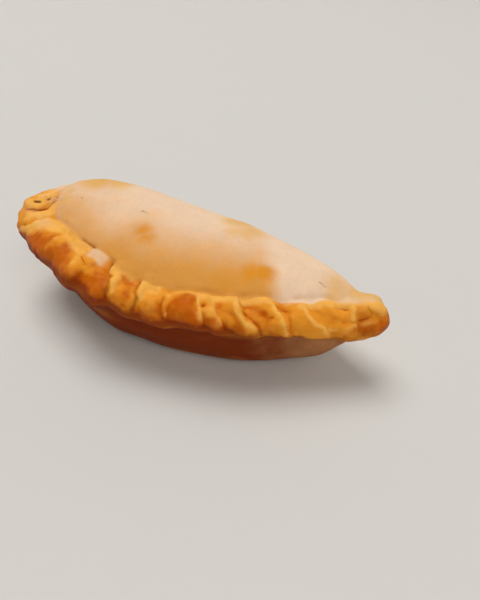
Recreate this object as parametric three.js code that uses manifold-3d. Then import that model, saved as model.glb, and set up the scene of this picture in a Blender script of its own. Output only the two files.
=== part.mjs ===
// A baked, half-moon empanada lying on its base: one solid of dough with a high smooth dome, a full
// belly and a thick crimped rim, whose overlapping folds run round the front from tip to tip.
// Millimetres. +X runs along the length, -Y is the crimped front, +Z is up.
import * as THREE from "three";
import { mergeVertices } from "three/addons/utils/BufferGeometryUtils.js";
import Module from "manifold-3d";

const { clamp, degToRad, lerp, mapLinear, smoothstep } = THREE.MathUtils;

// The filled body, without its rim
const LEFT_TIP = new THREE.Vector2(-50, -5);
const RIGHT_TIP = new THREE.Vector2(53, -1);
const FRONT_REACH = 21; // body wall in front of the tip-to-tip line, where it is fullest
const BACK_REACH = 22;
const BACK_HEIGHT = 15; // the folded back is widest at this height
const BELLY_BULGE = 3; // the lower front wall stands this much further out than the seam
const CROWN_HEIGHT = 33.5; // top of the dome above the base
const TIP_TOP = 23.5; // top and bottom of the body near its tips
const TIP_BOTTOM = 12;
const TIP_ROUND = 12; // length over which the body's height runs out at each tip
const BASE_SINK = 2; // how far the round belly is pressed flat on its base

// The seam, which carries the rim
const SEAM_HEIGHT = 20.5; // above the base, half way along
const SEAM_LEFT_RISE = 5.5; // it climbs to the left tip and drops to the right one
const SEAM_RIGHT_DROP = 2.5;
const SEAM_LEFT_POWER = 1.5; // 1 would be a straight climb
const SEAM_RIGHT_POWER = 2;

// Where each profile is fullest along X, and how blunt it is towards each tip
const CROWN = { peak: -25, leftPower: 6, rightPower: 1.6 };
const FRONT = { peak: -1, leftPower: 2.2, rightPower: 1.8 };
const BACK = { peak: -16, leftPower: 3.4, rightPower: 2.1 };
const KEEL = { peak: 4, leftPower: 2.6, rightPower: 3 };

// Superellipse powers of the cross-section; 2 would be an ellipse
const BELLY_POWER = 3.2;
const BACK_POWER = 2.5;
const DOME_POWER = 2.05;

// The crimped rim
const RIM_OUTSET = 0.2; // its middle lies this far outside the body wall
const RIM_REACH = 3.7; // half width outwards and half height, in a crease
const RIM_RISE = 3.5;
const RIM_LEFT_SWELL = 0.5; // share by which the rim is fatter at its left end
const RIM_LEFT_LENGTH = 75; // along the rim, until that fatness is gone
const RIM_TAIL_ROUND = 11; // length over which its left and right end are rounded off
const RIM_NOSE_ROUND = 5;
const RIM_WRAP = [
  new THREE.Vector3(-39.8, 4.5, 25), // sunk into the dough behind the left tip
  new THREE.Vector3(-44.7, 0.8, 24.6),
  new THREE.Vector3(-46.5, -4.5, 24.2),
  new THREE.Vector3(-45, -10.5, 24.2),
];
const RIM_NOSE = new THREE.Vector3(55.5, 0.5, 20.5); // the rim runs on past the right tip

// The folds, plump with a crease at each side on the left, scooped up to a sharp ridge on the right.
// Their widths run from the left end to the nose. The slants say how far each fold's left crease, and
// the nose's end, lead to the right under the rim and to the left above it.
const FOLD_WIDTHS = [7, 19.5, 13, 10.5, 9.5, 8, 6.5, 9, 3.5, 7.5, 8.5, 7.5, 7, 11.5];
const FOLD_SLANTS = [0, 0, -3.5, -2.5, -2, -2, -1, 1, 2.5, 3, 3, 3, 3, 3, 0];
const FOLD_RISE = 1.9; // how far a fold's ridge stands over the crease at its right
const PILLOW_CREASE = 0.45; // share of that rise which the creases beside a plump fold keep
const FOLD_DIMPLE = -0.15; // share of a fold's width at which a scoop would start to climb
const FOLD_MIDDLE = degToRad(35); // the folds' middle faces outwards and up
const FOLD_UNEVENNESS = 0.3; // share by which the folds' rises differ
const UNEVEN_TURN = 5; // radians from fold to fold, by which they differ

// The nose: the rim's right end, with a crease between its upper and lower lip
const NOSE_LENGTH = 14;
const NOSE_CREASE_DEPTH = 1.6;
const NOSE_CREASE_ANGLE = degToRad(16);
const NOSE_CREASE_SPREAD = degToRad(22);

// The curled lip across the rim's left end, with small hollows in it
const LIP_PLACE = 17.5; // along the rim
const LIP_ANGLE = degToRad(112);
const LIP_HALF_LENGTH = 3.8;
const LIP_SLIMNESS = 0.5; // width over length
const LIP_THICKNESS = 1.8;
const LIP_PROUD = 1.5; // its middle over the rim's creases
const PIT_PLACES = [2.2, -1.2]; // from the lip's middle towards its outer end
const PIT_RADIUS = 1.1;

// Mesh fineness
const BODY_AROUND = 60;
const BODY_ALONG = 46;
const RIM_POINTS = 10;
const RIM_AROUND = 22;
const ROWS_PER_FOLD = 9;
const LIP_AROUND = 8;
const LIP_ALONG = 24;

const CRUST = new THREE.MeshStandardMaterial({ color: 0xe0b27a, roughness: 0.6, metalness: 0 });

const UP = new THREE.Vector3(0, 0, 1);
const POLE = 1e-6; // a ball's ring smaller than this is its pole

const wasm = await Module();
wasm.setup();

// 1 at the profile's peak, falling to 0 at each tip.
function swell(x, { peak, leftPower, rightPower }) {
  if (x < peak) {
    return 1 - clamp((peak - x) / (peak - LEFT_TIP.x), 0, 1) ** leftPower;
  }
  return 1 - clamp((x - peak) / (RIGHT_TIP.x - peak), 0, 1) ** rightPower;
}

// Rises from 0 at an end to 1 at the given length from it, as a quarter of a circle does.
const quarterRound = (fromEnd, length) => Math.sqrt(1 - (1 - clamp(fromEnd / length, 0, 1)) ** 2);

const tipLine = (x) => mapLinear(x, LEFT_TIP.x, RIGHT_TIP.x, LEFT_TIP.y, RIGHT_TIP.y);
const tipRound = (x) => quarterRound(Math.min(x - LEFT_TIP.x, RIGHT_TIP.x - x), TIP_ROUND);
const frontAt = (x) => tipLine(x) - FRONT_REACH * swell(x, FRONT);
const backAt = (x) => tipLine(x) + BACK_REACH * swell(x, BACK);
const topAt = (x) => lerp(TIP_TOP, CROWN_HEIGHT, swell(x, CROWN));
const bottomAt = (x) => lerp(TIP_BOTTOM, -BASE_SINK, swell(x, KEEL));

function seamAt(x) {
  const climb = SEAM_LEFT_RISE * clamp(x / LEFT_TIP.x, 0, 1) ** SEAM_LEFT_POWER;
  const drop = SEAM_RIGHT_DROP * clamp(x / RIGHT_TIP.x, 0, 1) ** SEAM_RIGHT_POWER;
  return SEAM_HEIGHT + climb - drop;
}

const signedPower = (value, power) => Math.sign(value) * Math.abs(value) ** power;

// Moves each vertex of a geometry by place(point), and keeps only the positions.
function shaped(geometry, place) {
  geometry.deleteAttribute("normal");
  geometry.deleteAttribute("uv");
  const position = geometry.getAttribute("position");
  const point = new THREE.Vector3();
  for (let i = 0; i < position.count; i++) {
    place(point.fromBufferAttribute(position, i));
    position.setXYZ(i, point.x, point.y, point.z);
  }
  return geometry;
}

function solid(geometry) {
  const merged = mergeVertices(geometry);
  return new wasm.Manifold(
    new wasm.Mesh({
      numProp: 3,
      vertProperties: new Float32Array(merged.getAttribute("position").array),
      triVerts: new Uint32Array(merged.index.array),
    }),
  );
}

// The filled body: a ball drawn out along X, its cross-section set by the profiles.
function bodyGeometry() {
  const ball = new THREE.SphereGeometry(1, BODY_AROUND, BODY_ALONG);
  return shaped(ball, (p) => {
    const ring = Math.hypot(p.x, p.z);
    const back = ring > POLE ? -p.x / ring : 0; // 1 at the back, -1 at the front
    const up = ring > POLE ? p.z / ring : 0;
    const x = mapLinear(p.y, -1, 1, LEFT_TIP.x, RIGHT_TIP.x);
    const round = tipRound(x);
    const waist = lerp(seamAt(x), BACK_HEIGHT, Math.max(0, back) * round);
    const axis = (frontAt(x) + backAt(x)) / 2;
    const bulge = BELLY_BULGE * swell(x, KEEL) * Math.max(0, -up) * Math.max(0, -back);
    const reach = (backAt(x) - frontAt(x)) / 2 + bulge;
    const rise = (up > 0 ? topAt(x) - waist : waist - bottomAt(x)) * round;
    const lowerPower = back > 0 ? BACK_POWER : BELLY_POWER;
    const power = 2 / (up > 0 ? DOME_POWER : lowerPower);
    const z = waist + rise * signedPower(up, power);
    p.set(x, axis + reach * signedPower(back, power), Math.max(0, z));
  });
}

// The line along the rim's middle: from behind the left tip, along the front seam, to the nose.
function rimLine() {
  const points = [...RIM_WRAP];
  for (let i = 1; i < RIM_POINTS; i++) {
    const x = lerp(LEFT_TIP.x, RIGHT_TIP.x, i / RIM_POINTS);
    points.push(new THREE.Vector3(x, frontAt(x) - RIM_OUTSET, seamAt(x)));
  }
  points.push(RIM_NOSE);
  return new THREE.CatmullRomCurve3(points, false, "centripetal");
}

const line = rimLine();
const lineLength = line.getLength();

// 1 at the rim's left end, falling to 0 where the rim is slim and its folds are scooped.
const plumpAt = (along) => 1 - smoothstep(along * lineLength, 0, RIM_LEFT_LENGTH);
const girthAt = (along) => 1 + RIM_LEFT_SWELL * plumpAt(along);

const total = (widths) => widths.reduce((sum, width) => sum + width, 0);
const uneven = (fold) => 1 + FOLD_UNEVENNESS * Math.sin(UNEVEN_TURN * fold);

// For a row of the rim's mesh: its share of the rim's length, and its fold's rise and slant there.
function foldAt(row) {
  const fold = Math.min(Math.floor(row / ROWS_PER_FOLD), FOLD_WIDTHS.length - 1);
  const across = row / ROWS_PER_FOLD - fold;
  const along = (total(FOLD_WIDTHS.slice(0, fold)) + across * FOLD_WIDTHS[fold]) / total(FOLD_WIDTHS);
  const pillow = lerp(PILLOW_CREASE, 1, Math.sqrt(Math.max(0, Math.sin(Math.PI * across))));
  const scoop = smoothstep((across * ROWS_PER_FOLD) / (ROWS_PER_FOLD - 1), FOLD_DIMPLE, 1);
  return {
    along,
    rise: FOLD_RISE * uneven(fold) * lerp(scoop, pillow, plumpAt(along)),
    slant: lerp(FOLD_SLANTS[fold], FOLD_SLANTS[fold + 1], across),
  };
}

// A point off the rim's line: angle 0 faces outwards, a quarter turn faces up, height is over a crease.
function rimPoint(along, angle, height, rounded = 1) {
  const place = clamp(along, 0, 1);
  const tangent = line.getTangentAt(place);
  const outward = new THREE.Vector3().crossVectors(tangent, UP).normalize();
  const upward = new THREE.Vector3().crossVectors(outward, tangent);
  const point = line.getPointAt(place);
  point.addScaledVector(outward, Math.cos(angle) * rounded * (RIM_REACH * girthAt(place) + height));
  point.addScaledVector(upward, Math.sin(angle) * rounded * (RIM_RISE * girthAt(place) + height));
  return point;
}

// The rim: a ball drawn out along the rim's line, with the folds as relief.
function rimGeometry() {
  const rows = FOLD_WIDTHS.length * ROWS_PER_FOLD;
  const ball = new THREE.SphereGeometry(1, RIM_AROUND, rows);
  return shaped(ball, (p) => {
    const row = Math.round((1 - Math.acos(clamp(p.y, -1, 1)) / Math.PI) * rows);
    const angle = Math.atan2(p.z, p.x);
    const { along, rise, slant } = foldAt(row);
    const tailRound = quarterRound(along * lineLength, RIM_TAIL_ROUND);
    const rounded = tailRound * quarterRound((1 - along) * lineLength, RIM_NOSE_ROUND);
    const facing = (1 + Math.cos(angle - FOLD_MIDDLE)) / 2;
    const lead = -slant * Math.sin(angle - FOLD_MIDDLE) * rounded;
    const nose = smoothstep(along * lineLength, lineLength - NOSE_LENGTH, lineLength);
    const inCrease = Math.max(0, 1 - Math.abs(angle - NOSE_CREASE_ANGLE) / NOSE_CREASE_SPREAD);
    const height = rise * facing - NOSE_CREASE_DEPTH * nose * inCrease;
    p.copy(rimPoint(along + lead / lineLength, angle, height, rounded));
  });
}

// A point on the curled lip: across runs towards its outer end, beside runs along the rim.
function lipPoint(across, beside, height) {
  const along = (LIP_PLACE + beside) / lineLength;
  const angle = LIP_ANGLE - across / (RIM_REACH * girthAt(along));
  return rimPoint(along, angle, LIP_PROUD + height);
}

// The curled lip: an oval ring of dough that lies across the rim near its left end.
function lipGeometry() {
  const ring = new THREE.TorusGeometry(LIP_HALF_LENGTH, LIP_THICKNESS / 2, LIP_AROUND, LIP_ALONG);
  return shaped(ring, (p) => p.copy(lipPoint(p.x, p.y * LIP_SLIMNESS, p.z)));
}

// A small hollow inside the lip.
function pitGeometry(across) {
  const ball = new THREE.SphereGeometry(PIT_RADIUS, LIP_AROUND, LIP_AROUND);
  return shaped(ball, (p) => p.add(lipPoint(across, 0, 0)));
}

let dough = solid(bodyGeometry()).add(solid(rimGeometry())).add(solid(lipGeometry()));
for (const across of PIT_PLACES) {
  dough = dough.subtract(solid(pitGeometry(across)));
}
const shells = dough.decompose().sort((a, b) => b.volume() - a.volume());
const crust = shells[0].getMesh(); // the outer skin alone: air shut in behind the rim is filled

const geometry = new THREE.BufferGeometry();
geometry.setAttribute("position", new THREE.BufferAttribute(new Float32Array(crust.vertProperties), 3));
geometry.setIndex(new THREE.BufferAttribute(new Uint32Array(crust.triVerts), 1));
geometry.computeBoundingBox();
const middle = geometry.boundingBox.getCenter(new THREE.Vector3());
geometry.translate(-middle.x, -middle.y, -geometry.boundingBox.min.z); // origin under the middle
geometry.computeVertexNormals();

const empanada = new THREE.Mesh(geometry, CRUST);
empanada.name = "empanada";
const group = new THREE.Group();
group.add(empanada);

export default group;
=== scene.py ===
"""The looks of a baked, hand-crimped empanada, on a plain studio floor.

Metres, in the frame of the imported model: +X along the length, -Y the crimped front, +Z up.
"""

import math
from typing import NamedTuple

import bpy
import numpy as np
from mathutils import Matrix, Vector, noise
from bpy.props import FloatProperty, FloatVectorProperty, IntProperty, PointerProperty


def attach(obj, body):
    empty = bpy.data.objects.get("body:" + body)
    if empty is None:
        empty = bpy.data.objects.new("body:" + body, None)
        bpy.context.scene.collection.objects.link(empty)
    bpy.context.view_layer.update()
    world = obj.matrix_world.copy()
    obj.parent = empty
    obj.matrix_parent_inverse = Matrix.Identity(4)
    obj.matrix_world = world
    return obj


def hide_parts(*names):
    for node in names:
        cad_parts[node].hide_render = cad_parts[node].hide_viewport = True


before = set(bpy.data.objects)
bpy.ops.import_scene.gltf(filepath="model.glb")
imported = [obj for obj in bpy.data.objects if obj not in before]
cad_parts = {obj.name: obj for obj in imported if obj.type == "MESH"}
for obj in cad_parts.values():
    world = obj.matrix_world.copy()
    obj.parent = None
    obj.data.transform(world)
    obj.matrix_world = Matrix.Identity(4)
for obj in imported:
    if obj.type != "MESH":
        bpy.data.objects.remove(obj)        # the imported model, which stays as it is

bl_info = {
    "name": "Baked empanada",
    "version": (1, 0, 0),
    "blender": (4, 5, 0),
    "location": "3D View > Sidebar > Empanada",
    "description": "Shapes and finishes a baked empanada, and sets the studio round it",
    "category": "Object",
}

MM = 0.001
NODE = "empanada"
BODY = "root"
PIECE = "crust"
UP = np.array((0.0, 0.0, 1.0))
TINY = 1e-12  # the least length that is divided by
MERGE = 0.001 * MM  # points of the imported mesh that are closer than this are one
LEAST_WEIGHT = 0.004  # points with less weight in a vertex group are left out of it
BATCH = 500  # points that are set against the rim's line at a time
SMOOTHING = 0.5  # share of the way to its neighbours' middle that a round takes a point
RELIEF_ROUNDS = 14  # rounds of smoothing that relief is measured against
RELIEF_RANGE = 1 * MM  # relief that takes the colours from painted shade in a hollow to painted highlight on a crest
ROUND = 2.0  # power of a mark with a round top
POINTED = 1.2  # power of a pinched mark

# The line along the middle of the crimped rim, from behind the left tip round the front to the nose
RIM_LINE = np.array((
    (-41.7, 10.4, 25.0),
    (-46.6, 6.7, 24.6),
    (-48.4, 1.4, 24.2),
    (-46.9, -4.6, 24.2),
    (-41.6, -7.4, 24.4),
    (-21.0, -16.7, 21.8),
    (-0.4, -18.2, 20.5),
    (20.2, -12.9, 20.1),
    (40.8, -2.3, 18.9),
    (53.6, 6.4, 20.5),
)) * MM
LINE_STEPS = 150  # points of that line between two of the points above

# Marks in the rim's dough, in millimetres: how far they stand out, how far they reach to the left and to
# the right of their line, and the line's points. A point is a length along the rim from its left end,
# and degrees round it: 0 faces outwards, 90 up, 120 the dome. Left and right are those of the way from
# the first point on, as seen from the front.
RIDGES = (
    (0.50, 0.8, 2.4, (20.6, 16), (24.4, 33), (26.3, 59), (27.4, 85), (30, 113)),  # the tail's first fold
    (0.25, 1.2, 1.2, (36.6, 48), (36.4, 85)),
    (0.30, 1.4, 1.0, (47, 62), (45.4, 92), (42.5, 108)),
    (0.50, 0.5, 1.4, (60, 50), (59, 84), (57, 112)),
    (0.40, 1.2, 0.9, (57, 113), (59.5, 115), (62.7, 114)),
    (0.50, 0.5, 1.8, (67.2, 53), (66.9, 78), (66, 109)),
    (0.35, 1.2, 1.0, (66.5, 111), (71, 112)),
    (0.25, 0.6, 0.5, (74.2, 14), (74, 43)),
    (0.25, 1.0, 1.6, (74, 86), (74.8, 98), (76.4, 107), (78.6, 111), (81, 109)),
    (0.35, 2.0, 0.8, (82.6, 30), (82.3, 62), (81.4, 90)),
    (0.40, 1.0, 0.6, (86.9, 18), (85, 50), (84.8, 82)),
    (0.35, 0.9, 1.2, (84.5, 103), (87.6, 99), (90.2, 95)),
    (0.40, 0.8, 0.6, (94.4, 8), (93, 28), (91.1, 49), (90.4, 77), (90.2, 95)),
    (0.35, 0.9, 1.2, (91.9, 107), (97.4, 107)),
    (0.40, 0.7, 0.5, (102.6, 0), (101.5, 24), (99.6, 60), (98.4, 104)),
    (0.40, 0.8, 0.6, (111.4, 0), (109.9, 19), (107.5, 42), (106, 84)),
    (0.35, 0.9, 1.2, (107, 92), (110.5, 96), (114.2, 100)),
    (0.25, 0.7, 0.7, (112.6, 8), (114.4, 6), (116.3, 8), (118, 6)),
    (0.40, 0.7, 0.7, (118, 30), (118.6, 52), (117.6, 72), (115.8, 82), (113.6, 80)),
    (0.20, 0.9, 0.9, (120.5, 10), (124, 8)),
)
SWELLS = (
    (1.00, 3.5, 1.0, (20.4, 88), (20.7, 96), (20.6, 106), (20.4, 116), (20.6, 126),  # the lip
     (20, 131)),
    (0.80, 3.0, 3.0, (15, 110), (16.5, 122)),
    (0.90, 3.0, 3.0, (25, -8), (31, -6)),
    (0.50, 3.0, 3.0, (49, 22), (53, 0)),
    (0.45, 3.5, 3.5, (34, 45), (36, 75)),
    (0.50, 3.0, 2.0, (40.5, 60), (42, 95)),
    (0.70, 2.5, 1.6, (57, 40), (55, 65), (52.5, 95), (50, 112)),
    (0.50, 1.8, 1.6, (61, 45), (64, 50)),
    (0.60, 2.0, 1.6, (70, 30), (70.5, 45)),
    (0.80, 3.0, 3.0, (68, -34), (74, -34)),
    (0.50, 2.5, 2.5, (78, 45), (78.5, 70)),
    (0.90, 2.4, 2.2, (86.6, -6), (89.6, -8)),
    (0.30, 2.2, 2.2, (92.5, -4)),
    (0.60, 1.8, 1.8, (96.3, -14)),
    (0.30, 1.6, 1.4, (99.4, 4), (98.8, 18)),
    (0.40, 1.8, 1.8, (105, 0), (104.8, 15), (103.6, 42)),
    (0.45, 2.4, 2.2, (108, -18), (111.5, -20)),
    (1.30, 3.2, 3.2, (117, -50), (121, -48), (124, -42)),  # the nose's lower lip
)
CREASES = (
    (-0.70, 0.60, 0.60, (19.4, 72), (21.4, 84), (22, 97), (21.9, 114), (22, 124)),  # under the lip
    (-0.35, 0.50, 0.50, (22.8, 30), (24.8, 48), (25.8, 70)),
    (-0.80, 0.45, 0.45, (49.3, 78), (46.3, 88)),
    (-0.70, 0.90, 0.80, (58.9, 20), (58.9, 38), (58.7, 59), (57.5, 88), (55.3, 116)),
    (-0.35, 0.50, 0.50, (65, 44), (63.6, 54), (62.4, 71)),
    (-0.70, 0.90, 0.80, (66.3, 14), (66.6, 52), (65.4, 69), (64.8, 100), (65.3, 113)),
    (-0.55, 0.70, 0.60, (73.6, 6), (72.9, 49), (72.9, 78)),
    (-0.40, 0.40, 0.40, (74.9, 14), (74.8, 43)),
    (-0.40, 0.50, 0.50, (83.6, 7), (83.3, 42)),
    (-0.40, 0.70, 0.70, (88.8, 2), (87.4, 24), (86.2, 48)),
    (-0.45, 0.60, 0.60, (96.7, -20), (95.5, 14), (93.6, 48), (92.2, 80)),
    (-0.45, 0.50, 0.70, (104.6, -28), (102.8, 34), (100.8, 76)),
    (-0.60, 0.60, 0.60, (114.4, 74), (116.2, 68), (117, 58)),
    (-0.55, 0.60, 0.60, (119.5, 24), (121.2, 23), (122.6, 25)),  # between the nose's lips
    (-0.50, 0.60, 0.60, (123.3, 36), (122.5, 54)),
    (-0.30, 0.60, 0.60, (126.8, 10), (124.8, 21)),
    (-0.25, 0.60, 0.60, (125.5, -20), (124.4, 10)),
)
HOLLOWS = (
    (-0.6, 3.0, 3.0, (32, 4), (42, 14)),
    (-0.4, 1.2, 1.2, (50.5, 50), (49.2, 76)),
    (-0.4, 1.6, 1.6, (60, 98), (62, 102)),
    (-0.9, 0.8, 0.8, (83.3, 65)),
    (-0.7, 1.5, 1.3, (87.3, 68), (89.2, 48), (91, 28)),
    (-0.6, 0.8, 0.8, (93.1, 54)),
    (-0.7, 1.4, 1.2, (93.6, 84), (96, 58), (97.6, 34)),
    (-0.5, 0.6, 0.6, (98.8, 44)),
    (-0.8, 1.3, 1.3, (100.6, 92), (102, 70)),
    (-0.6, 1.4, 1.4, (108.8, 72), (111, 54), (113.4, 38), (116, 24)),
    (-0.8, 3.2, 3.2, (124, 100), (126, 80)),  # the nose slopes down
)

# Where the oven has browned the rim, with painted shade in pits, in hollows beside ridges and under the
# lip; where it has stayed pale, with painted highlights on the lip, ridges and nose; and where it is like
# the dome: strength, then as above
BROWNED_AND_SHADED = (
    (0.50, 3.0, 3.0, (5, 10), (11, -2), (17, -4)),
    (1.00, 1.8, 1.8, (22.5, 16), (26.5, 10), (32, 12)),
    (0.90, 1.0, 1.0, (19.8, 74), (21.6, 84), (22, 97), (21.7, 112), (21.6, 120)),
    (0.90, 2.0, 1.6, (31.6, 38), (34.6, 46), (35.2, 66)),
    (0.50, 2.5, 2.5, (25, 10), (33, 18), (40, 32)),
    (1.10, 2.2, 2.0, (39.4, 52), (41.2, 72), (41, 98)),
    (0.70, 1.6, 1.6, (42.7, 46), (45, 56)),
    (0.75, 1.4, 1.6, (51.3, 92), (52, 103), (53.4, 101)),
    (0.70, 2.2, 1.6, (57.6, 32), (55.6, 62), (54, 78)),
    (0.80, 1.8, 1.8, (50.5, 40), (54.5, 38)),
    (0.60, 1.2, 0.6, (58, 30), (57.6, 60), (56, 95)),
    (0.80, 1.4, 1.4, (60, 100), (62.3, 106)),
    (0.45, 1.5, 1.5, (61, 45), (64, 48)),
    (0.60, 1.4, 0.6, (64.4, 30), (64.2, 60), (63.6, 95)),
    (0.70, 1.8, 1.8, (68.5, 26), (70.2, 33), (71.6, 40)),
    (0.40, 1.2, 1.2, (70.6, 108)),
    (1.20, 2.4, 2.2, (75.9, 35), (77.8, 56), (79.3, 84)),
    (0.80, 2.5, 2.5, (77, 22), (81, 28)),
    (0.80, 0.7, 0.7, (83.3, 65)),
    (0.80, 1.0, 0.8, (84.8, 28), (85.6, 21)),
    (0.90, 0.7, 0.7, (93.1, 54)),
    (0.80, 0.6, 0.6, (98.8, 44)),
    (0.50, 1.2, 1.2, (87, 14), (89, 4)),
    (0.50, 1.3, 1.2, (86.3, 70), (88.3, 52), (90.3, 35), (91.6, 17)),
    (0.50, 1.0, 1.0, (96.5, -10), (95.5, 16), (93.5, 46)),
    (0.55, 1.3, 1.3, (92.4, 88), (94.6, 71), (96.2, 56)),
    (0.50, 1.5, 1.2, (99.6, 0), (98, 29), (96.6, 56)),
    (0.65, 1.4, 1.4, (100.5, 92), (102.2, 71)),
    (0.20, 1.6, 1.4, (104.5, 10), (103.4, 43)),
    (0.35, 1.0, 1.0, (103, 0), (102.5, 30)),
    (0.10, 1.7, 1.7, (108.4, 71), (110.8, 54), (113.2, 39), (116, 24)),
    (0.30, 1.0, 1.0, (111.6, 0), (117, -4)),
    (0.60, 1.5, 1.4, (120.2, 50), (121.6, 40)),
    (0.45, 1.2, 1.2, (124.4, 36), (125.6, 26)),
    (0.90, 2.0, 2.0, (119.5, 0), (123.2, -3), (125.3, -8)),
)
# Pale dough, partly painted highlight on the lip, the ridges and the nose
PALE_AND_HIGHLIT = (
    (0.80, 1.4, 0.5, (19.6, 84), (20, 92), (20, 112), (20.2, 124)),
    (0.60, 3.0, 3.0, (9, 95), (14, 112)),
    (0.90, 2.5, 2.0, (22.5, 60), (24.3, 92), (24.3, 112)),
    (0.50, 1.8, 1.8, (26.8, 36), (29, 62), (31.8, 82)),
    (0.60, 1.8, 1.8, (31, 100), (36, 108), (42, 110), (45, 108)),
    (0.50, 1.8, 1.8, (68.7, 98), (70.5, 85)),
    (0.55, 1.5, 1.5, (83, 98), (90, 98), (98, 100)),
    (0.60, 1.8, 1.8, (107, 86), (112.5, 90), (117, 80)),
    (0.45, 1.8, 1.8, (108.5, -6), (111.5, -12)),
    (1.10, 3.0, 2.6, (118, 90), (122.9, 75), (125.7, 53)),
    (0.15, 1.0, 1.0, (119.4, 14), (122, 12), (126, 16)),
    (0.50, 1.8, 1.8, (114.5, -18), (118.4, -8)),
)
CREAM = (
    (0.35, 3.2, 3.2, (19, 62), (22, 76), (24.5, 84), (27, 78)),
    (0.40, 2.6, 2.6, (12, 100), (16, 112)),
    (0.30, 2.4, 2.4, (28.5, 70), (31, 96)),
    (0.90, 1.8, 1.8, (47.6, 114), (49.8, 116.5), (52.4, 114)),  # one fold, like the dome
    (0.70, 2.0, 1.4, (103, 102), (107, 106), (109.5, 106)),
)

# Degrees round the rim, by the length along it: where its colour ends at the dome, how far that blurs,
# and where the rim is darkest
DOME_EDGE = ((0, 140), (22, 126), (27.5, 112), (36, 118), (52, 119), (58, 116), (66, 113), (74, 112),
             (80, 114), (90, 108), (98, 111), (104, 101), (112, 97), (116, 88), (120, 72), (128, 62))
DOME_EDGE_BLUR = ((12, 20), (32, 5), (108, 5), (118, 19))
LOWER_EDGE = ((0, -40), (20, 0), (31, 3), (39, 9), (44, 18), (49, 29), (53, 30), (57, 14), (60, 8),
              (63, 6), (66, 0), (70, -8), (75, -2), (80, 8), (84, 2), (88, 2), (92, 0), (96, -5),
              (100, -10), (104, -16), (110, -22), (114, -22), (118, -16), (123, -14), (128, -22))

# How much the dome's foot has browned, by the length along the rim
FOOT_GLOW = ((0, 0.5), (30, 0.6), (60, 0.85), (75, 1.0), (96, 0.95), (102, 0.15), (128, 0.3))

# Fuller or slimmer places, seams at the dome's foot, and cracks, in millimetres: height, reach and points
FULLER = (
    (1.00, 8.0, (14, 12, 28.5), (24, 10, 27), (36, 7, 25)),
    (0.70, 7.0, (-34, 12, 32), (-20, 14, 31.5)),
    (1.70, 5.5, (40, -3, 11), (46, 1.5, 14), (48.5, 3, 14.5)),
    (-1.00, 7.0, (-5, -14.5, 4), (10, -14.5, 3)),
)
SEAMS = (
    (-0.35, 0.9, (-39, -2, 32), (-39.5, -5, 30.5), (-37.5, -7.5, 29.5), (-34, -8, 30),
     (-29, -9.5, 29.5), (-24, -12, 29)),
    (-0.35, 0.9, (-19.5, -13, 28.5), (-14.5, -14, 28), (-12, -15, 27)),
    (-0.35, 0.9, (7.5, -15, 25), (13, -13, 25), (19.5, -12, 25), (24, -8.5, 24.5), (28, -7, 24.5)),
    (-0.40, 1.0, (33.5, -5, 24), (36.5, -2.5, 23.5), (40, -0.5, 23.5)),
)
CRACKS = (
    (-0.90, 0.5, (-24, -12, 29), (-19.5, -13, 28.5)),
    (-0.50, 0.5, (37.3, 1.4, 26.5), (38.3, 1.2, 26.1), (39.1, 1.1, 25.6)),
)
CRACK_WIDTH = 0.8  # of the painted shade in a crack, as a share of its reach
CRACK_SHADE = 0.6

# Where the dome is browned, and where it is only golden: strength, reach and place, in millimetres
BLOTCHES = (
    (0.9, 3.8, (-9.5, -5, 31.8)),
    (0.8, 3.6, (-7, -6.5, 31)),
    (0.8, 3.6, (21.5, -4.5, 27.6)),
    (1.0, 3.0, (24.5, -2.7, 27.6)),
    (0.5, 7.0, (16, -9, 27)),
)
SUNNY = (
    (0.8, 3.0, (-39, 2, 33.3)),
    (0.8, 2.6, (-38, -1, 32.7)),
    (1.0, 6.0, (-35, 9, 33)),
    (1.0, 6.5, (-28, 12.5, 32)),
    (0.4, 4.0, (-2, 13.5, 30)),
    (0.9, 6.5, (10, 13, 28.5)),
    (0.8, 6.0, (15, 10, 28.5)),
    (0.6, 4.5, (11.5, 6, 30.3)),
    (0.9, 6.0, (42, 2.5, 25)),
    (1.0, 3.5, (42, -0.5, 24.3)),
    (1.0, 5.5, (47, 4, 23.5)),
    (1.0, 4.5, (51, 5.5, 22.5)),
)

# Specks on the dome, with their darkness, and pits in the lip, with their share of the depth, by which
# they
# are also darkened with painted shade: then reach and points, in millimetres
SPECKS = (
    (0.7, 0.5, (-33.3, 0.2, 33.3)),
    (0.7, 0.5, (-19, 6.9, 33.3)),
    (0.7, 0.5, (-14, 1.7, 33.2), (-11.2, 1.2, 32.8)),
)
PITS = (
    (1.0, 0.7, (-46.1, -5.2, 32.1), (-44.9, -4.6, 32.2)),
    (1.0, 0.8, (-44.3, -1.9, 31.9)),
    (0.6, 0.7, (-42.2, -0.6, 32)),
)

# How far outside the rim's round its marks, its lumps, its colours and the smoothing below it fade away
MARKS_FADE = (0.8 * MM, 2.2 * MM)
LUMPS_FADE = (-0.8 * MM, 1.4 * MM)
TINT_FADE = (1.5 * MM, 4 * MM)
HEM_FADE = (4 * MM, 9 * MM)
FOOT_REACH = 14.5 * MM  # of the browned foot of the dome
FOOT_POWER = 1.4

# Degrees below the rim's darkest line, or above it where negative, between which something changes
HEM_BELOW = (-20, 15)  # the smoothing starts
PALE_BELOW = (-25, 5)  # pale edges and their painted highlights end
TINT_BELOW = (10, 36)  # the rim's colours end
BELLY_BELOW = (8, 24)  # the belly's colour starts
LAYERS_BELOW = (40, 90)  # the belly's layers start

# Bands along the rim, darker towards its underside, partly browning and partly painted shade: degrees
# below its darkest line, and reach
TOAST_BAND = (-8, 18)
EMBER_BAND = (10, 22)

# Degrees round the rim, between which something starts
PALE_TOP = (55, 105)
DOME_SIDE = (80, 110)  # the browned foot of the dome

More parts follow.
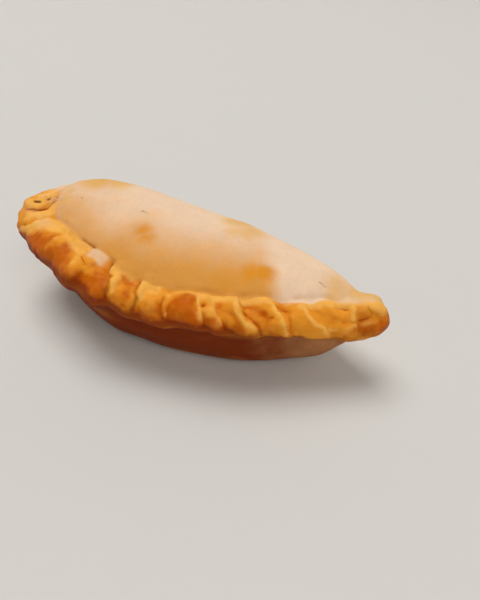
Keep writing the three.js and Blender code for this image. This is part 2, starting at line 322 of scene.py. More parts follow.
# Lengths along the rim, or shares of its whole length, between which something changes
TINT_FROM = (0, 15 * MM)  # its colours start
HEM_FROM = (18 * MM, 28 * MM)  # the smoothing starts
# the belly's painted shade fades, painted light on its right end
BELLY_LIGHTER_TO_RIGHT = (74 * MM, 118 * MM)
HEAT_FROM = (0.03, 0.16)  # the band of toast and the ember start
TOAST_LESS = (0.64, 0.8)
EMBER_LESS = (0.68, 0.8)

# Places from the front to the back between which the layers end, and the belly's front colour
LAYERS_FRONT = (-6 * MM, 8 * MM)
BELLY_FRONT = (-12 * MM, 14 * MM)

# Heights between which the belly's colour ends, and between which relief starts, so the base stays flat
BELLY_TOP_FRONT = (18 * MM, 24 * MM)
BELLY_TOP_BACK = (1 * MM, 16 * MM)
OFF_BASE = (0.5 * MM, 4 * MM)

# Strength of the band of toast and painted shade and of the pale top, and the share that is lost towards
# the right end, where the belly's painted shade is lighter too
TOAST_SHARE = 0.6
PALE_SHARE = 0.25
TOAST_LOSS = 0.6
EMBER_LOSS = 0.35
BELLY_SHADE_LOSS = 0.36

CREST_FULL = 0.5  # height of a ridge that is pale all over, with painted highlight, in millimetres
CREST_POWER = 1.8  # keeps the pale and its painted highlight to the crest itself
CREASE_FULL = 0.8  # depth of a crease that is dark all over with painted shade, in millimetres
LAYER_EDGE = (-0.35, 0.35)  # unevenness between which a layer of dough ends

# Unevenness of the colours: its size, and how many finer steps it has
GRAINS = {
    "broad": (16 * MM, 2.0),
    "mottle": (5 * MM, 3.0),
    "fine": (1.6 * MM, 3.0),
    "pores": (0.5 * MM, 2.0),
}
GRAIN_ROUGHNESS = 0.55
SHADES = {"pores": 0.1, "fine": 0.12, "mottle": 0.22}  # how far each of them shades the crust
PORE_RELIEF = {"pores": 0.4, "fine": 0.4}  # and how far it stands out
RIM_RELIEF = 1.2  # more of the fine one, on the rim
PORE_STRENGTH = 0.6
ROUGHNESS_GRAIN = 0.2
SATIN = (0.25, 0.85)  # toast between which the rim gets smoother

# Streaks of the belly's stretched dough: their size and finer steps, how they are drawn out, and the
# unevenness where they start and where they are full
STREAKS = (6 * MM, 2.0)
STREAK_DRAW = (0.25, 0.25, 1.0)
DARK_STREAKS = (0.55, 0.35)
PALE_STREAKS = (0.5, 0.75)
DARK_STREAK_COVER = 0.5
PALE_STREAK_COVER = 0.3

TRANSLUCENT_RADIUS = (1.0, 0.5, 0.2)  # red light goes furthest into the dough

COVE_SIDES = 96
COVE_BEND = 0.6  # radius of the sweep, as a share of the wall's height
COVE_BEND_STEPS = 12
AIM = (0.0, 0.0, 15 * MM)  # the middle of the empanada, which the lights face
NEAREST_SEEN = 5 * MM  # by the camera


class Coat(NamedTuple):
    """One colour of the crust: where it lies, what makes its edge uneven, and how well it covers."""

    mark: str  # an attribute of the piece
    start: float  # the mark's value where the colour starts
    full: float  # and where it is full
    uneven: dict  # how far each unevenness shifts the mark
    cover: float = 1.0


COATS = {
    "foot": Coat("foot", 0.05, 0.85, {"broad": 0.5, "mottle": 0.2}),
    "sunny": Coat("sunny", 0.2, 1.0, {"broad": 0.8, "mottle": 0.7}, cover=0.85),
    "blotch": Coat("blotch", 0.2, 1.0, {"mottle": 0.9, "fine": 0.3}, cover=0.9),
    "golden": Coat("belly", 0.0, 0.5, {"broad": 0.3, "mottle": 0.3}, cover=0.7),
    # The belly's colour, darkened with painted shade
    "belly": Coat("belly", 0.3, 0.9, {"broad": 0.3, "mottle": 0.3}),
    # Toast, stronger in hollows by the relief as painted shade
    "toast_and_shade": Coat("toast_and_shade", 0.0, 1.05, {"mottle": 1.0, "fine": 0.8, "relief": -0.75}),
    # Pale edges, stronger on crests by the relief as painted highlight
    "edge": Coat("edge", 0.15, 1.0, {"mottle": 0.7, "fine": 0.4, "relief": 1.2}, cover=0.75),
    # Painted shade in the creases
    "crease_shade": Coat("crease_shade", 0.3, 1.0, {"fine": 0.3}, cover=0.55),
    "rim": Coat("rim", 0.15, 0.85, {"broad": 0.3, "mottle": 0.5}),
    "cream": Coat("cream", 0.2, 1.1, {"mottle": 0.4}, cover=0.8),
    # Ember: browned underside with painted shade, stronger in hollows by the relief
    "ember_and_shade": Coat("ember_and_shade", 0.15, 0.9, {"mottle": 0.5, "fine": 0.2, "relief": -0.6}, cover=0.88),
    # Dark specks, and painted shade in pits and cracks
    "char": Coat("dark", 0.3, 0.8, {}, cover=0.85),
}


def srgb(red, green, blue):
    """A colour as it is seen, 0 to 255, as the linear colour that a shader takes."""
    return tuple(((v / 255 + 0.055) / 1.055) ** 2.4 for v in (red, green, blue))


class CrustForm(bpy.types.PropertyGroup):
    """The dough's folds, creases and unevenness."""

    grain: FloatProperty(
        name="Grain", description="Size of the mesh's cells", default=0.43 * MM, unit="LENGTH")
    rim_rounds: IntProperty(
        name="Rim softness", description="Rounds of smoothing all over", default=36)
    dome_rounds: IntProperty(
        name="Dome softness", description="Further rounds of smoothing off the rim", default=50)
    hem_rounds: IntProperty(
        name="Hem softness", description="Further rounds where the rim runs into the belly", default=90)
    rim_radius: FloatProperty(
        name="Rim radius", description="On the slim right", default=5.4 * MM, unit="LENGTH")
    rim_swell: FloatProperty(
        name="Rim swell", description="How much fatter the rim is at its left end", default=2.8 * MM,
        unit="LENGTH")
    rim_swell_length: FloatProperty(
        name="Swell length", description="Along the rim, until that is gone", default=90 * MM,
        unit="LENGTH")
    marks: FloatProperty(
        name="Marks", description="Depth of the ridges, creases and finger marks, 1 as in the tables",
        default=1.0)
    variety: FloatProperty(
        name="Variety", description="How much that depth varies", default=0.6, subtype="FACTOR")
    variety_size: FloatProperty(
        name="Variety size", description="Length over which it varies", default=5 * MM, unit="LENGTH")
    wander: FloatProperty(
        name="Wander", description="How far the marks stray from their lines", default=0.7 * MM,
        unit="LENGTH")
    wander_size: FloatProperty(
        name="Wander size", description="Length over which they stray", default=3.5 * MM, unit="LENGTH")
    wander_seed: IntProperty(
        name="Wander seed", description="Which way they stray, the same in each run", default=2, min=1)
    lump_height: FloatProperty(
        name="Lumps", description="Unevenness of the crimped rim", default=0.6 * MM, unit="LENGTH")
    lump_size: FloatProperty(
        name="Lump size", description="Of that unevenness", default=4.5 * MM, unit="LENGTH")
    wrinkle_height: FloatProperty(
        name="Wrinkles", description="Finer unevenness of the rim", default=0.5 * MM, unit="LENGTH")
    wrinkle_size: FloatProperty(
        name="Wrinkle size", description="Of that finer unevenness", default=1.8 * MM, unit="LENGTH")
    wave_height: FloatProperty(
        name="Waves", description="Unevenness of the dome and belly", default=0.7 * MM, unit="LENGTH")
    wave_size: FloatProperty(
        name="Wave size", description="Of that unevenness", default=14 * MM, unit="LENGTH")
    fullness: FloatProperty(
        name="Fullness", description="How far the dough is puffed up all over", default=0.4 * MM,
        unit="LENGTH")
    layer_height: FloatProperty(
        name="Layers", description="Of the stretched dough below the rim", default=0.4 * MM,
        unit="LENGTH")
    layer_size: FloatProperty(
        name="Layer size", description="From one layer to the next", default=4 * MM, unit="LENGTH")
    layer_stretch: FloatProperty(
        name="Layer stretch", description="How much longer than high the layers are", default=9.0)
    pit_depth: FloatProperty(
        name="Pits", description="Depth of the holes in the lip", default=1 * MM, unit="LENGTH")


class CrustFinish(bpy.types.PropertyGroup):
    """The colours and the surface of the baked dough."""

    cream: FloatVectorProperty(
        name="Cream", description="Top of the dome", subtype="COLOR", default=srgb(233, 201, 170))
    straw: FloatVectorProperty(
        name="Straw", description="Golden parts of the dome", subtype="COLOR", default=srgb(222, 170, 92))
    tan: FloatVectorProperty(
        name="Tan", description="Foot of the dome", subtype="COLOR", default=srgb(216, 150, 68))
    gold: FloatVectorProperty(
        name="Gold", description="Blotches on the dome", subtype="COLOR", default=srgb(216, 138, 24))
    # Pale pinched edges, with painted highlights on the folds' crests
    butter_and_highlight: FloatVectorProperty(
        name="Butter", description="Pinched edges of the folds", subtype="COLOR",
        default=srgb(242, 182, 88))
    honey: FloatVectorProperty(
        name="Honey", description="The rim between its browned places", subtype="COLOR",
        default=srgb(228, 146, 40))
    # Browned dough, also laid as painted shade in hollows and towards the rim's underside
    toast_and_shade: FloatVectorProperty(
        name="Toast", description="Browned faces of the folds", subtype="COLOR", default=srgb(192, 92, 2))
    # Browned underside of the rim, darkened further with painted shade
    ember_and_shade: FloatVectorProperty(
        name="Ember", description="Underside of the rim", subtype="COLOR", default=srgb(128, 42, 4))
    # Dough below the rim, darkened and reddened with painted shade
    belly: FloatVectorProperty(
        name="Belly", description="Dough below the rim", subtype="COLOR", default=srgb(124, 47, 13))
    # Painted shade in the creases, and dark streaks on the belly
    crease_shade_and_streak: FloatVectorProperty(
        name="Crack", description="Creases, and the belly's folds", subtype="COLOR",
        default=srgb(110, 48, 14))
    # Dark specks, and painted shade in the lip's pits and the dome's cracks
    char: FloatVectorProperty(
        name="Char", description="Pits and specks", subtype="COLOR", default=srgb(84, 40, 12))
    roughness: FloatProperty(
        name="Roughness", description="Of the pale dough", subtype="FACTOR", default=0.62)
    satin: FloatProperty(
        name="Satin", description="How much smoother the browned rim is", subtype="FACTOR", default=0.16)
    sheen: FloatProperty(
        name="Sheen", description="How much the crust mirrors", subtype="FACTOR", default=0.06)
    glow: FloatProperty(
        name="Glow", description="Share of light that enters the dough", subtype="FACTOR", default=0.08)
    glow_depth: FloatProperty(
        name="Glow depth", description="How far it goes", default=1 * MM, unit="LENGTH")
    pore_height: FloatProperty(
        name="Pores", description="Height of the fine grain", default=0.12 * MM, unit="LENGTH")


class StudioLook(bpy.types.PropertyGroup):
    """Floor, lights and camera."""

    floor: FloatVectorProperty(
        name="Floor", description="Colour of the floor", subtype="COLOR", default=srgb(208, 205, 200))
    floor_roughness: FloatProperty(
        name="Floor roughness", description="How dull the floor is", subtype="FACTOR", default=0.75)
    floor_reach: FloatProperty(
        name="Floor reach", description="Radius of the floor", default=1.6, unit="LENGTH")
    wall_height: FloatProperty(
        name="Wall height", description="Of the wall that the floor sweeps up into", default=1.2,
        unit="LENGTH")
    key_power: FloatProperty(
        name="Key", description="Large light above and behind", default=37.0, unit="POWER")
    key_size: FloatProperty(
        name="Key size", description="Width of that light", default=1.4, unit="LENGTH")
    key_place: FloatVectorProperty(
        name="Key place", description="Middle of that light", subtype="TRANSLATION",
        default=(-0.55, 0.35, 2.3))
    fill_power: FloatProperty(
        name="Fill", description="Weak light from the front right", default=18.0, unit="POWER")
    fill_size: FloatProperty(
        name="Fill size", description="Width of that light", default=1.2, unit="LENGTH")
    fill_place: FloatVectorProperty(
        name="Fill place", description="Middle of that light", subtype="TRANSLATION",
        default=(1.4, -0.9, 1.3))
    room: FloatProperty(
        name="Room", description="Strength of the light from all round", default=0.2)
    room_colour: FloatVectorProperty(
        name="Room colour", description="Of that light", subtype="COLOR", default=(1.0, 0.98, 0.95))
    camera_place: FloatVectorProperty(
        name="Camera", description="Place of the camera", subtype="TRANSLATION",
        default=[v * MM for v in (60.4, -90.4, 99.0)])
    camera_pitch: FloatProperty(
        name="Pitch", description="How far the camera looks down", default=math.radians(40.2),
        subtype="ANGLE")
    camera_heading: FloatProperty(
        name="Heading", description="The camera's turn to the left", default=math.radians(25.9),
        subtype="ANGLE")
    camera_lens: FloatProperty(
        name="Lens", description="Focal length in millimetres, on a 36 mm frame", default=28.8,
        unit="CAMERA")


def smooth_step(values, low, high):
    """0 up to low, 1 from high on, with soft ends."""
    share = np.clip((values - low) / (high - low), 0, 1)
    return share * share * (3 - 2 * share)


def bell(values, middle, reach, power=ROUND):
    """1 at the middle, falling away on both sides: round on top, or pointed where the power is low."""
    return np.exp(-(np.abs((values - middle) / reach) ** power))


def uneven(points, size):
    """Three soft random values, round 0, for each point."""
    return np.array([noise.noise_vector(point) for point in points / size])


def near_line(points, places, reach):
    """1 along a row of places, falling away round it."""
    places = np.array(places) * MM
    distance = np.full(len(points), np.inf)
    for start, end in zip(places, places[1:] if len(places) > 1 else places):
        run = end - start
        share = np.clip((points - start) @ run / max(run @ run, TINY), 0, 1)
        distance = np.minimum(distance, np.linalg.norm(points - start - share[:, None] * run, axis=1))
    return bell(distance, 0, reach * MM)


def cover_lines(points, lines):
    """How strongly rows of places, each with its strength and reach, cover each point."""
    return sum(strength * near_line(points, line, reach) for strength, reach, *line in lines)


def smooth_line(points, steps):
    """A centripetal Catmull-Rom curve through the points, as a fine row of points."""
    ends = np.vstack((2 * points[0] - points[1], points, 2 * points[-1] - points[-2]))
    stretches = []
    for before, start, end, after in zip(ends, ends[1:], ends[2:], ends[3:]):
        span_in = np.linalg.norm(start - before) ** 0.5
        span = np.linalg.norm(end - start) ** 0.5
        span_out = np.linalg.norm(after - end) ** 0.5
        run = np.linspace(0, span, steps, endpoint=False)[:, None]
        way_in = start + (start - before) * run / span_in
        way = start + (end - start) * run / span
        way_out = end + (after - end) * (run - span) / span_out
        first = (way_in * (span - run) + way * (run + span_in)) / (span_in + span)
        second = (way * (span + span_out - run) + way_out * run) / (span + span_out)
        stretches.append((first * (span - run) + second * run) / span)
    return np.vstack(stretches + [points[-1:]])


class RimPlaces:
    """Where points lie on the crimped rim: along it, round it, and how far from it."""

    def __init__(self, points, form):
        line = smooth_line(RIM_LINE, LINE_STEPS)
        steps = np.linalg.norm(np.diff(line, axis=0), axis=1)
        lengths = np.concatenate(((0,), np.cumsum(steps)))
        tangent = np.gradient(line, axis=0)
        tangent /= np.linalg.norm(tangent, axis=1, keepdims=True)
        outward = np.cross(tangent, UP)
        outward /= np.linalg.norm(outward, axis=1, keepdims=True)
        upward = np.cross(outward, tangent)

        nearest = np.concatenate([
            ((part[:, None] - line[None]) ** 2).sum(2).argmin(1)
            for part in np.array_split(points, len(points) // BATCH + 1)
        ])
        away = points - line[nearest]
        angle = np.arctan2((away * upward[nearest]).sum(1), (away * outward[nearest]).sum(1))
        self.length = lengths[-1]
        self.along = lengths[nearest]
        self.degrees = np.degrees(angle)
        self.below = self.by_length(LOWER_EDGE) - self.degrees

        plump = 1 - smooth_step(self.along, 0, form.rim_swell_length)
        self.gap = np.linalg.norm(away, axis=1) - form.rim_radius - form.rim_swell * plump
        self.near = 1 - smooth_step(self.gap, *MARKS_FADE)
        self.on_rim = 1 - smooth_step(self.gap, *LUMPS_FADE)

        dome_edge = self.by_length(DOME_EDGE)
        blur = self.by_length(DOME_EDGE_BLUR)
        self.coloured = 1 - smooth_step(self.degrees, dome_edge - blur, dome_edge + blur)
        self.coloured *= 1 - smooth_step(self.below, *TINT_BELOW)
        self.coloured *= 1 - smooth_step(self.gap, *TINT_FADE)

        stray = uneven(points, form.wander_size) * form.wander
        self.turn = form.rim_radius
        self.across = self.along + stray[:, 0]
        self.round = angle * self.turn + stray[:, 1]

    def by_length(self, table):
        """Values that change with the length along the rim."""
        lengths, values = np.array(table).T
        return np.interp(self.along, lengths * MM, values)

    def stroke(self, left, right, *points, power):
        """1 along a row of points on the rim, falling away to its left and right."""
        spots = [(along * MM, math.radians(degrees) * self.turn) for along, degrees in points]
        distance = np.full(len(self.along), np.inf)
        side = np.zeros(len(self.along))
        for start, end in zip(spots, spots[1:] or spots):
            run = end[0] - start[0]
            rise = end[1] - start[1]
            length = max(math.hypot(run, rise), TINY)
            on_run = self.across - start[0]
            on_rise = self.round - start[1]
            share = np.clip((on_run * run + on_rise * rise) / length ** 2, 0, 1)
            off_run = on_run - share * run
            off_rise = on_rise - share * rise
            beside = np.maximum(np.hypot(off_run, off_rise), TINY)
            closer = beside < distance
            side[closer] = ((run * off_rise - rise * off_run) / (length * beside))[closer]
            distance[closer] = beside[closer]
        reach = (left + right + (left - right) * side) / 2
        return bell(distance, 0, reach * MM, power) * self.near

    def cover(self, marks, power=ROUND):
        """How strongly the marks cover each point."""
        return sum(strength * self.stroke(*line, power=power) for strength, *line in marks)


def points_of(piece):
    """The piece's vertices, and their normals."""
    mesh = piece.data
    points = np.empty(len(mesh.vertices) * 3)
    mesh.vertices.foreach_get("co", points)
    normals = np.empty(len(mesh.vertices) * 3)
    mesh.vertex_normals.foreach_get("vector", normals)
    return points.reshape(-1, 3), normals.reshape(-1, 3)


def add_group(piece, name, weights):
    """A vertex group with these weights, from 0 to 1."""
    group = piece.vertex_groups.new(name=name)
    for index in np.flatnonzero(weights > LEAST_WEIGHT):
        group.add([int(index)], float(weights[index]), "REPLACE")
    return group.name


def apply_modifier(piece, kind, **settings):
    """Adds a modifier with these settings and applies it."""
    modifier = piece.modifiers.new(kind.title(), kind)
    for name, value in settings.items():
        setattr(modifier, name, value)
    bpy.ops.object.modifier_apply(modifier=modifier.name)


def smooth(piece, rounds, **settings):
    """So many rounds of smoothing, all over or in a vertex group."""
    apply_modifier(piece, "SMOOTH", factor=SMOOTHING, iterations=rounds, **settings)


def press(piece, name, weights, height):
    """Moves the skin outwards by height, or inwards where it is negative, as much as the weights say."""
    group = add_group(piece, name, np.clip(weights, 0, 1))
    apply_modifier(piece, "DISPLACE", strength=height, mid_level=0.0, vertex_group=group)


def roughen(piece, name, weights, height, size, depth):
    """Uneven lumps of that height and size, where the weights say."""
    texture = bpy.data.textures.new(name, "CLOUDS")
    texture.noise_scale = size
    texture.noise_depth = depth
    group = add_group(piece, name, np.clip(weights, 0, 1))
    apply_modifier(piece, "DISPLACE", texture=texture, texture_coords="LOCAL", strength=height,
                   mid_level=0.5, vertex_group=group)


def write_attribute(piece, name, values):
    """Keeps a value from 0 to 1 for each vertex, for the material."""
    attribute = piece.data.attributes.new(name, "FLOAT", "POINT")
    attribute.data.foreach_set("value", np.clip(values, 0, 1).astype(np.float32))


def copy_of_node(name):
    """A new piece with a merged copy of the node's mesh, selected and active."""
    bpy.ops.object.select_all(action="DESELECT")
    piece = bpy.data.objects.new(name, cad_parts[NODE].data.copy())
    piece.data.name = name
    bpy.context.scene.collection.objects.link(piece)
    bpy.context.view_layer.objects.active = piece
    piece.select_set(True)
    bpy.ops.object.mode_set(mode="EDIT")
    bpy.ops.mesh.select_all(action="SELECT")
    bpy.ops.mesh.remove_doubles(threshold=MERGE)
    bpy.ops.object.mode_set(mode="OBJECT")
    return piece


def stands_out(piece):
    """How far each point stands out of its smoothed surroundings."""
    points, normals = points_of(piece)
    ends = np.empty(len(piece.data.edges) * 2, dtype=np.int32)
    piece.data.edges.foreach_get("vertices", ends)
    first, second = ends.reshape(-1, 2).T
    count = len(points)
    ways = np.bincount(ends, minlength=count)[:, None]

    def gather(values):
        """The sum of each point's neighbours."""
        return np.bincount(first, values[second], count) + np.bincount(second, values[first], count)

    soft = points
    for _ in range(RELIEF_ROUNDS):
        soft = np.stack([gather(values) for values in soft.T], axis=1) / ways
    return ((points - soft) * normals).sum(1)


def soften(piece, form):
    """Gives the piece fine, even cells and rounds it, least on the rim and most below that."""
    apply_modifier(piece, "REMESH", mode="VOXEL", voxel_size=form.grain)
    places = RimPlaces(points_of(piece)[0], form)
    off_rim = add_group(piece, "off the rim", 1 - places.on_rim)
    hem = smooth_step(places.below, *HEM_BELOW) * smooth_step(places.along, *HEM_FROM)
    hem = add_group(piece, "hem", hem * (1 - smooth_step(places.gap, *HEM_FADE)))
    smooth(piece, form.rim_rounds)
    smooth(piece, form.dome_rounds, vertex_group=off_rim)
    smooth(piece, form.hem_rounds, vertex_group=hem)


def fold(piece, form):
    """Presses ridges, creases, finger marks and layers into the dough, and tells where its points lie."""
    points, _ = points_of(piece)
    places = RimPlaces(points, form)
    off_base = smooth_step(points[:, 2], *OFF_BASE)

    relief = places.cover((*SWELLS, *HOLLOWS)) + places.cover((*RIDGES, *CREASES), power=POINTED)
    relief *= 1 + form.variety * uneven(points, form.variety_size)[:, 2]
    relief += cover_lines(points, (*FULLER, *SEAMS, *CRACKS))
    relief *= form.marks * MM * off_base
    most = np.abs(relief).max()
    press(piece, "raised", relief / most, most)
    press(piece, "sunk", -relief / most, -most)
    press(piece, "puffed", off_base, form.fullness)

    stretched = points / (form.layer_stretch, form.layer_stretch, 1)
    layers = smooth_step(uneven(stretched, form.layer_size)[:, 0], *LAYER_EDGE) * off_base
    layers *= smooth_step(places.below, *LAYERS_BELOW) * (1 - smooth_step(points[:, 1], *LAYERS_FRONT))
    press(piece, "layers", layers, form.layer_height)

    crimped = places.on_rim * off_base
    plain = (1 - places.on_rim) * off_base
    roughen(piece, "lumps", crimped, form.lump_height, form.lump_size, depth=2)
    roughen(piece, "wrinkles", crimped, form.wrinkle_height, form.wrinkle_size, depth=2)
    roughen(piece, "waves", plain, form.wave_height, form.wave_size, depth=1)
    return places


def sculpt(piece, form):
    """Turns the plain solid into pinched dough, and tells where its points lie and which are in pits."""
    noise.seed_set(form.wander_seed)
    soften(piece, form)
    before = stands_out(piece)
    places = fold(piece, form)
    points, _ = points_of(piece)
    pits = cover_lines(points, PITS)
    press(piece, "pits", pits, -form.pit_depth)
    smooth(piece, 1)
    piece.vertex_groups.clear()
    bpy.ops.object.shade_smooth()
    write_attribute(piece, "relief", 0.5 + (stands_out(piece) - before) / RELIEF_RANGE)
    return places, pits


def rim_colour_and_painted_light(piece, places):
    """Writes how the rim's folds are browned and where they are pale, with painted highlights and shade,
    for the material.
    """
    share = places.along / places.length
    heat = smooth_step(share, *HEAT_FROM)
    # A band of toast towards the rim's underside: partly browning, partly painted shade
    toast_and_shade = TOAST_SHARE * bell(places.below, *TOAST_BAND) * heat
    toast_and_shade *= 1 - TOAST_LOSS * smooth_step(share, *TOAST_LESS)
    # Pale crests of the ridges: pale pinched dough with painted highlight
    crest = np.clip(places.cover(RIDGES, power=POINTED) / CREST_FULL, 0, 1) ** CREST_POWER
    pale = crest + places.cover(PALE_AND_HIGHLIT) + PALE_SHARE * smooth_step(places.degrees, *PALE_TOP)
    # The rim's dark underside: partly browning, partly painted shade
    ember_and_shade = bell(places.below, *EMBER_BAND) * places.near * heat
    write_attribute(piece, "rim", places.coloured * smooth_step(places.along, *TINT_FROM))
    write_attribute(piece, "toast_and_shade", places.cover(BROWNED_AND_SHADED) + toast_and_shade)
    write_attribute(piece, "edge", pale * (1 - heat * smooth_step(places.below, *PALE_BELOW)))
    # Painted shade in the creases
    write_attribute(piece, "crease_shade", -places.cover(CREASES) / CREASE_FULL)
    write_attribute(piece, "cream", places.cover(CREAM))
    write_attribute(piece, "ember_and_shade", ember_and_shade * (1 - EMBER_LOSS * smooth_step(share, *EMBER_LESS)))


def belly_colour_and_shade(piece, places):
    """Writes where the belly's colour lies, its own colour darkened with painted shade, less of it
    towards the right end, for the material.
    """
    points, _ = points_of(piece)
    front = 1 - smooth_step(points[:, 1], *BELLY_FRONT)
    low, high = (back + (fore - back) * front for back, fore in zip(BELLY_TOP_BACK, BELLY_TOP_FRONT))
    belly = 1 - smooth_step(points[:, 2], low, high)
    belly = np.maximum(belly, smooth_step(places.below, *BELLY_BELOW) * places.near * front)
    write_attribute(piece, "belly", belly * (1 - BELLY_SHADE_LOSS * smooth_step(places.along, *BELLY_LIGHTER_TO_RIGHT)))


def brown_dome(piece, places, pits):
    """Writes how the dome is browned and where its specks are, with painted shade in its cracks and in
    the lip's pits, for the material.
    """
    points, _ = points_of(piece)
    foot = bell(np.maximum(places.gap, 0), 0, FOOT_REACH, FOOT_POWER)
    foot *= smooth_step(places.degrees, *DOME_SIDE) * places.by_length(FOOT_GLOW)
    write_attribute(piece, "foot", foot)
    for name, spots in (("blotch", BLOTCHES), ("sunny", SUNNY)):
        spread = [strength * near_line(points, [place], reach) for strength, reach, place in spots]
        write_attribute(piece, name, np.max(spread, axis=0))
    cracks = sum(near_line(points, line, CRACK_WIDTH * reach) for _, reach, *line in CRACKS)
    write_attribute(piece, "dark", pits + cover_lines(points, SPECKS) + CRACK_SHADE * cracks)


class Tone:
    """A socket in a material's node tree that works in Python expressions."""

    def __init__(self, tree, socket=None):
        self.tree = tree
        self.socket = socket

    def node(self, kind, settings, sockets, output=0):
        """Adds a node: its settings are set first, then the values or links of its sockets."""
        made = self.tree.nodes.new(kind)
        for name, value in settings.items():
            setattr(made, name, value)
        for name, value in sockets.items():
            if isinstance(value, Tone):
                self.tree.links.new(value.socket, made.inputs[name])
            else:
                made.inputs[name].default_value = value
        return Tone(self.tree, made.outputs[output] if made.outputs else None)

    def math(self, operation, first, second):
        """One step of arithmetic with sockets or numbers."""
        return self.node("ShaderNodeMath", {"operation": operation}, {0: first, 1: second})

    def __add__(self, other):
        return self.math("ADD", self, other)

    __radd__ = __add__

    def __sub__(self, other):
        return self.math("SUBTRACT", self, other)

    def __rsub__(self, other):
        return self.math("SUBTRACT", other, self)

    def __mul__(self, other):
        return self.math("MULTIPLY", self, other)

    __rmul__ = __mul__

    def rise(self, low, high):
        """0 up to low, 1 from high on, with soft ends."""
        settings = {"interpolation_type": "SMOOTHSTEP"}
        sockets = {"Value": self, "From Min": low, "From Max": high}
        return self.node("ShaderNodeMapRange", settings, sockets)

    def tint(self, below, above):
        """The colour below, with the colour above laid on where this is 1."""
        settings = {"data_type": "RGBA", "clamp_factor": True}
        return self.node("ShaderNodeMix", settings, {0: self, 6: below, 7: above}, output=2)

    def attribute(self, name):
        """A value that the piece keeps for each vertex."""
        return self.node("ShaderNodeAttribute", {"attribute_name": name}, {}, output="Fac")

    def noise(self, size, detail, place):
        """Soft unevenness of about that size, round 0.5."""
        sockets = {"Vector": place, "Scale": 1 / size, "Detail": detail, "Roughness": GRAIN_ROUGHNESS}
        return self.node("ShaderNodeTexNoise", {}, sockets)


def crust_material(finish):
    """Baked dough: a cream dome with golden blotches, a rim browned on the faces of its folds, with
    painted highlights on its crests and painted shade in its creases, hollows and underside, and a belly
    darkened with painted shade.
    """
    material = bpy.data.materials.new("baked crust")
    material.use_nodes = True
    material.node_tree.nodes.clear()
    start = Tone(material.node_tree)
    place = start.node("ShaderNodeTexCoord", {}, {}, output="Object")
    grains = {name: start.noise(*grain, place) - 0.5 for name, grain in GRAINS.items()}
    # How far each point stands out: the coats paint shade in hollows and highlight on crests by it
    grains["relief"] = start.attribute("relief") - 0.5
    on_rim = start.attribute("rim")

    def colour(name):
        """A colour of the finish, as a socket takes it."""
        return (*getattr(finish, name), 1.0)

    def mixed(base, amounts):
        """The base, with so much of each unevenness added to it."""
        for name, amount in amounts.items():
            base = base + grains[name] * amount
        return base

    def mark(coat):
        """Where a coat lies, with an uneven edge."""
        return mixed(start.attribute(coat.mark), coat.uneven)

    def lay(name, below, above):
        """What is below, with what is above laid on where the coat of that name lies."""
        coat = COATS[name]
        return (mark(coat).rise(coat.start, coat.full) * coat.cover).tint(below, above)

    dome = lay("foot", colour("cream"), colour("tan"))
    dome = lay("sunny", dome, colour("straw"))
    dome = lay("blotch", dome, colour("gold"))

    # The belly: its own colour darkened with painted shade, with dark and pale streaks
    drawn = start.node("ShaderNodeVectorMath", {"operation": "MULTIPLY"}, {0: place, 1: STREAK_DRAW})
    streaks = start.noise(*STREAKS, drawn)
    belly = (streaks.rise(*DARK_STREAKS) * DARK_STREAK_COVER).tint(colour("belly"), colour("crease_shade_and_streak"))
    belly = (streaks.rise(*PALE_STREAKS) * PALE_STREAK_COVER).tint(belly, colour("tan"))

    rim = lay("toast_and_shade", colour("honey"), colour("toast_and_shade"))
    rim = lay("edge", rim, colour("butter_and_highlight"))
    rim = lay("crease_shade", rim, colour("crease_shade_and_streak"))

    skin = lay("golden", dome, colour("tan"))
    skin = lay("belly", skin, belly)
    skin = lay("rim", skin, rim)
    skin = lay("cream", skin, colour("cream"))
    skin = lay("ember_and_shade", skin, colour("ember_and_shade"))
    skin = lay("char", skin, colour("char"))
    shade = mixed(1, SHADES)
    skin = start.node("ShaderNodeVectorMath", {"operation": "SCALE"}, {0: skin, "Scale": shade})

    browned = mark(COATS["toast_and_shade"]).rise(*SATIN) * on_rim
    roughness = finish.roughness - finish.satin * browned + grains["fine"] * ROUGHNESS_GRAIN
    height = mixed(RIM_RELIEF * on_rim * grains["fine"], PORE_RELIEF)
    normal = start.node("ShaderNodeBump", {}, {
        "Strength": PORE_STRENGTH,
        "Distance": finish.pore_height,
        "Height": height,
    })
    surface = start.node("ShaderNodeBsdfPrincipled", {}, {
        "Base Color": skin,
        "Roughness": roughness,
        "Normal": normal,
        "Specular IOR Level": finish.sheen,
        "Subsurface Weight": finish.glow,
        "Subsurface Radius": TRANSLUCENT_RADIUS,
        "Subsurface Scale": finish.glow_depth,
    })
    start.node("ShaderNodeOutputMaterial", {}, {"Surface": surface})
    return material


class EMPANADA_OT_shape_crust(bpy.types.Operator):
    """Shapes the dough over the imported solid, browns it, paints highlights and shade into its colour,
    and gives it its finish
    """

    bl_idname = "empanada.shape_crust"
    bl_label = "Crust"

    def execute(self, context):
        piece = copy_of_node(PIECE)
        places, pits = sculpt(piece, context.scene.empanada_form)
        rim_colour_and_painted_light(piece, places)
        belly_colour_and_shade(piece, places)
        brown_dome(piece, places, pits)
        piece.data.materials.clear()
        piece.data.materials.append(crust_material(context.scene.empanada_finish))
        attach(piece, BODY)
        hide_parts(NODE)
        return {"FINISHED"}


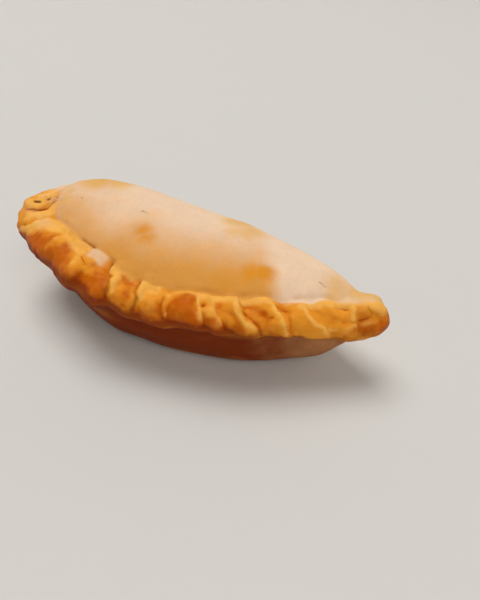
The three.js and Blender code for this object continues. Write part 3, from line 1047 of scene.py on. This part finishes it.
def add_cove(reach, height):
    """A round floor whose edge sweeps up into a wall, with no line between them."""
    bpy.ops.mesh.primitive_circle_add(vertices=COVE_SIDES, radius=reach, fill_type="NGON")
    floor = bpy.context.object
    floor.name = "studio_floor"
    bpy.ops.object.mode_set(mode="EDIT")
    bpy.ops.mesh.select_all(action="SELECT")
    bpy.ops.mesh.select_mode(type="EDGE")
    bpy.ops.mesh.region_to_loop()
    bpy.ops.mesh.extrude_region_move(TRANSFORM_OT_translate={"value": (0.0, 0.0, height)})
    bpy.ops.mesh.select_all(action="SELECT")
    bpy.ops.mesh.normals_make_consistent(inside=True)
    bpy.ops.mesh.select_all(action="DESELECT")
    bpy.ops.object.mode_set(mode="OBJECT")
    for edge in floor.data.edges:
        edge.select = all(abs(floor.data.vertices[v].co.z) < MM for v in edge.vertices)
    bpy.ops.object.mode_set(mode="EDIT")
    bpy.ops.mesh.bevel(offset=COVE_BEND * height, segments=COVE_BEND_STEPS)
    bpy.ops.object.mode_set(mode="OBJECT")
    bpy.ops.object.shade_smooth()
    return floor


def add_light(name, place, size, power):
    """A square soft light at a place, facing the empanada."""
    bpy.ops.object.light_add(type="AREA", location=place)
    light = bpy.context.object
    light.name = name
    away = light.location - Vector(AIM)
    light.rotation_euler = away.to_track_quat("Z", "Y").to_euler()
    light.data.size = size
    light.data.energy = power


class EMPANADA_OT_set_stage(bpy.types.Operator):
    """Sets the floor, the soft lights and the camera"""

    bl_idname = "empanada.set_stage"
    bl_label = "Stage"

    def execute(self, context):
        look = context.scene.empanada_studio
        bpy.ops.object.select_all(action="DESELECT")
        floor = add_cove(look.floor_reach, look.wall_height)
        paint = bpy.data.materials.new("studio floor")
        paint.use_nodes = True
        shader = paint.node_tree.nodes["Principled BSDF"]
        shader.inputs["Base Color"].default_value = (*look.floor, 1.0)
        shader.inputs["Roughness"].default_value = look.floor_roughness
        floor.data.materials.append(paint)

        add_light("key light", look.key_place, look.key_size, look.key_power)
        add_light("fill light", look.fill_place, look.fill_size, look.fill_power)
        world = bpy.data.worlds.new("studio room")
        world.use_nodes = True
        room = world.node_tree.nodes["Background"]
        room.inputs["Color"].default_value = (*look.room_colour, 1.0)
        room.inputs["Strength"].default_value = look.room
        context.scene.world = world
        context.scene.view_settings.view_transform = "Standard"

        turn = (math.pi / 2 - look.camera_pitch, 0.0, look.camera_heading)
        bpy.ops.object.camera_add(location=look.camera_place, rotation=turn)
        camera = context.object
        camera.data.lens = look.camera_lens
        camera.data.clip_start = NEAREST_SEEN
        context.scene.camera = camera
        return {"FINISHED"}


class EMPANADA_PT_panel(bpy.types.Panel):
    """The empanada's steps and values"""

    bl_idname = "EMPANADA_PT_panel"
    bl_label = "Empanada"
    bl_space_type = "VIEW_3D"
    bl_region_type = "UI"
    bl_category = "Empanada"

    def draw(self, context):
        for values, operator in STEPS:
            box = self.layout.box()
            for group_name in values:
                group = getattr(context.scene, group_name)
                for name in group.bl_rna.properties.keys():
                    if name not in ("name", "rna_type"):
                        box.prop(group, name)
            box.operator(operator)


STEPS = (
    (("empanada_form", "empanada_finish"), EMPANADA_OT_shape_crust.bl_idname),
    (("empanada_studio",), EMPANADA_OT_set_stage.bl_idname),
)
GROUPS = {
    "empanada_form": CrustForm,
    "empanada_finish": CrustFinish,
    "empanada_studio": StudioLook,
}
CLASSES = (*GROUPS.values(), EMPANADA_OT_shape_crust, EMPANADA_OT_set_stage, EMPANADA_PT_panel)


def register():
    for cls in CLASSES:
        bpy.utils.register_class(cls)
    for name, group in GROUPS.items():
        setattr(bpy.types.Scene, name, PointerProperty(type=group))


def unregister():
    for name in GROUPS:
        delattr(bpy.types.Scene, name)
    for cls in reversed(CLASSES):
        bpy.utils.unregister_class(cls)


def main():
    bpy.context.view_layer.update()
    register()
    bpy.ops.empanada.shape_crust()
    bpy.ops.empanada.set_stage()


if __name__ == "__main__":
    main()
